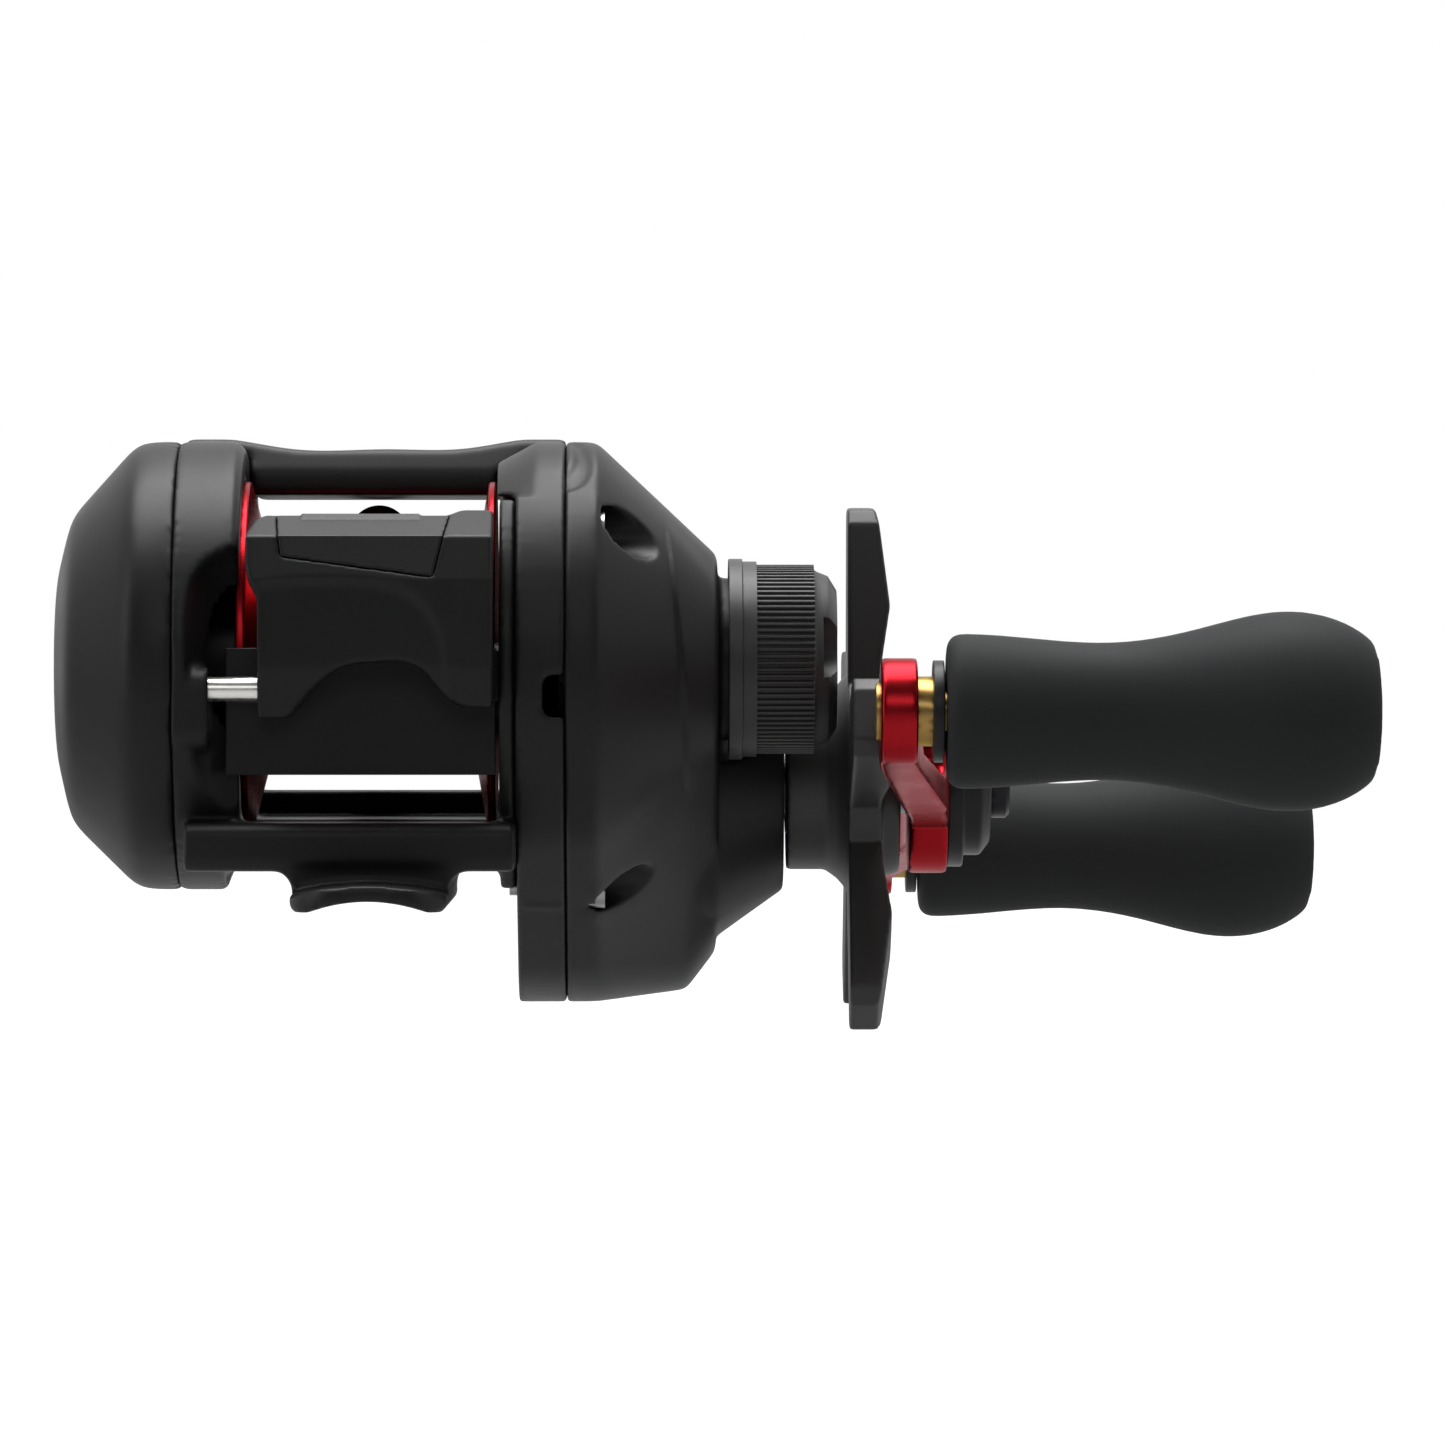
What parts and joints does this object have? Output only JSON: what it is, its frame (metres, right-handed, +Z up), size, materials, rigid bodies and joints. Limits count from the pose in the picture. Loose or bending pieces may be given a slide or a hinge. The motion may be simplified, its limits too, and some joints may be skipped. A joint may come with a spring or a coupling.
{
  "type": "baitcasting reel",
  "caption": "low-profile baitcasting fishing reel with thumb bar clutch, star drag, cast control and twin-knob crank handle",
  "frame": {"origin": "centre of the reel foot's underside, below the spool axis, on the plane where it sits on the rod", "axes": "+X along the spool axis towards the handle, +Y forwards to the rod tip, +Z up from the rod"},
  "size_m": [0.1203, 0.1015, 0.0552],
  "materials": {
    "matte_black_resin": "soft matte moulding with a fine grain",
    "satin_black_resin": "satin moulding",
    "red_anodised_alloy": "red anodised, glossy",
    "black_anodised_alloy": "black anodised, satin",
    "steel": "machined",
    "black_steel": "blackened",
    "polished_steel": "ground and polished",
    "brass": "turned",
    "white_plastic": "moulded acetal",
    "drag_fibre": "woven carbon washer",
    "worm_alloy": "hard anodised",
    "knob_rubber": "soft matte rubber",
    "knob_cap_grey": "satin grey",
    "guide_ring": "polished ring"
  },
  "bodies": {
    "frame": {"tension_shim": "white_plastic", "reel_frame": "matte_black_resin", "top_hood": "matte_black_resin", "gear_side_plate": "matte_black_resin", "gear_cover": "matte_black_resin", "cover_screws": "steel", "roller_clutch": "steel", "drive_shaft_bearing": "steel", "pinion_bearing": "steel", "spool_bearing_right": "steel", "yoke_springs": "steel", "level_wind_tube": "satin_black_resin", "worm_bushings": "white_plastic", "guide_rod": "steel"},
    "palm_side": {"palm_side_cover": "matte_black_resin", "brake_case": "satin_black_resin", "spool_bearing_left": "steel"},
    "lever": {"release_lever": "satin_black_resin"},
    "spool_unit": {"spool": "red_anodised_alloy", "spool_shaft": "steel", "brake_hub": "satin_black_resin"},
    "pinion": {"pinion_gear": "brass"},
    "yoke": {"pinion_yoke": "white_plastic"},
    "crank": {"drive_shaft": "steel", "drive_gear": "brass", "drag_washer": "drag_fibre", "drag_pressure_plate": "steel", "ratchet_wheel": "steel", "level_wind_drive_gear": "white_plastic", "clutch_sleeve": "steel", "handle_arm": "red_anodised_alloy", "knob_shafts": "brass", "knob_collars": "satin_black_resin", "handle_nut": "steel", "nut_retainer": "satin_black_resin", "retainer_screw": "black_steel"},
    "pawl": {"anti_reverse_pawl": "steel"},
    "drag_stack": {"drag_spring_washer": "steel"},
    "star": {"star_drag": "black_anodised_alloy", "star_nut": "brass"},
    "knob_near": {"knob_grip_near": "knob_rubber", "knob_cap_near": "knob_cap_grey"},
    "knob_far": {"knob_grip_far": "knob_rubber", "knob_cap_far": "knob_cap_grey"},
    "worm": {"worm_shaft": "worm_alloy", "worm_gear": "white_plastic"},
    "guide": {"line_guide": "satin_black_resin", "line_guide_insert": "guide_ring"},
    "wind_pawl": {"guide_pawl": "steel"},
    "thumb_clutch": {"clutch_bar": "matte_black_resin", "clutch_bar_pad": "satin_black_resin", "clutch_slide_plate": "satin_black_resin", "clutch_guide_pin": "polished_steel", "clutch_plate": "satin_black_resin"},
    "cast_control": {"cast_control_cap": "black_anodised_alloy", "cast_control_ring": "black_anodised_alloy"},
    "shoe_1": {"brake_shoe_1": "white_plastic"},
    "shoe_2": {"brake_shoe_2": "white_plastic"},
    "shoe_3": {"brake_shoe_3": "white_plastic"},
    "shoe_4": {"brake_shoe_4": "white_plastic"}
  },
  "joints": [
    {"name": "crank_turn", "type": "hinge", "parent": "frame", "child": "crank", "pos_m": [0.045, 0.01575, 0.0113], "axis": [1, 0, 0], "continuous": true},
    {"name": "spool_spin", "type": "hinge", "parent": "frame", "child": "spool_unit", "pos_m": [0, 0, 0.0228], "axis": [1, 0, 0], "continuous": true},
    {"name": "clutch_press", "type": "slide", "parent": "frame", "child": "thumb_clutch", "axis": [0, 0, -1], "range_m": [0, 0.0034]},
    {"name": "yoke_slide", "type": "slide", "parent": "frame", "child": "yoke", "axis": [1, 0, 0], "range_m": [0, 0.0015], "deforming": ["yoke_springs"]},
    {"name": "pinion_spin", "type": "hinge", "parent": "yoke", "child": "pinion", "pos_m": [0.02, 0, 0.0228], "axis": [1, 0, 0], "continuous": true},
    {"name": "worm_spin", "type": "hinge", "parent": "frame", "child": "worm", "pos_m": [0, 0.0255, 0.0217], "axis": [1, 0, 0], "continuous": true},
    {"name": "line_guide_travel", "type": "slide", "parent": "frame", "child": "guide", "axis": [1, 0, 0], "range_m": [-0.0078, 0.0082]},
    {"name": "guide_pawl_swivel", "type": "hinge", "parent": "guide", "child": "wind_pawl", "pos_m": [-0.0003, 0.0255, 0.015], "axis": [0, 0, 1], "range_deg": [-20, 20]},
    {"name": "drag_travel", "type": "slide", "parent": "crank", "child": "drag_stack", "axis": [1, 0, 0], "range_m": [0, 0.000626]},
    {"name": "star_turn", "type": "hinge", "parent": "drag_stack", "child": "star", "pos_m": [0.043, 0.01575, 0.0113], "axis": [1, 0, 0], "range_deg": [0, 300]},
    {"name": "cast_control_turn", "type": "hinge", "parent": "frame", "child": "cast_control", "pos_m": [0.038, 0, 0.0228], "axis": [1, 0, 0], "range_deg": [0, 360]},
    {"name": "knob_near_spin", "type": "hinge", "parent": "crank", "child": "knob_near", "pos_m": [0.07, -0.02672, 0.01803], "axis": [1, 0, 0], "continuous": true},
    {"name": "knob_far_spin", "type": "hinge", "parent": "crank", "child": "knob_far", "pos_m": [0.07, 0.05822, 0.00457], "axis": [1, 0, 0], "continuous": true},
    {"name": "side_cover_pull", "type": "slide", "parent": "frame", "child": "palm_side", "axis": [-1, 0, 0], "range_m": [0, 0.03]},
    {"name": "release_lever_turn", "type": "hinge", "parent": "palm_side", "child": "lever", "pos_m": [-0.0205, 0.0215, 0.0082], "axis": [-1, 0, 0], "range_deg": [0, 30]},
    {"name": "anti_reverse_pawl_swing", "type": "hinge", "parent": "frame", "child": "pawl", "pos_m": [0.0161, 0.0091, 0.0037], "axis": [1, 0, 0], "range_deg": [0, 8]},
    {"name": "brake_shoe_1_slide", "type": "slide", "parent": "spool_unit", "child": "shoe_1", "axis": [0, 0.7071, 0.7071], "range_m": [0, 0.0016]},
    {"name": "brake_shoe_2_slide", "type": "slide", "parent": "spool_unit", "child": "shoe_2", "axis": [0, -0.7071, 0.7071], "range_m": [0, 0.0016]},
    {"name": "brake_shoe_3_slide", "type": "slide", "parent": "spool_unit", "child": "shoe_3", "axis": [0, -0.7071, -0.7071], "range_m": [0, 0.0016]},
    {"name": "brake_shoe_4_slide", "type": "slide", "parent": "spool_unit", "child": "shoe_4", "axis": [0, 0.7071, -0.7071], "range_m": [0, 0.0016]}
  ],
  "couplings": [
    {"joint": "spool_spin", "follows": "crank_turn", "ratio": -7.2143},
    {"joint": "pinion_spin", "follows": "crank_turn", "ratio": -7.2143},
    {"joint": "worm_spin", "follows": "crank_turn", "ratio": -1.4783},
    {"joint": "yoke_slide", "follows": "clutch_press", "ratio": 0.44118},
    {"joint": "drag_travel", "follows": "star_turn", "m_per_rad": 0.00011937}
  ]
}
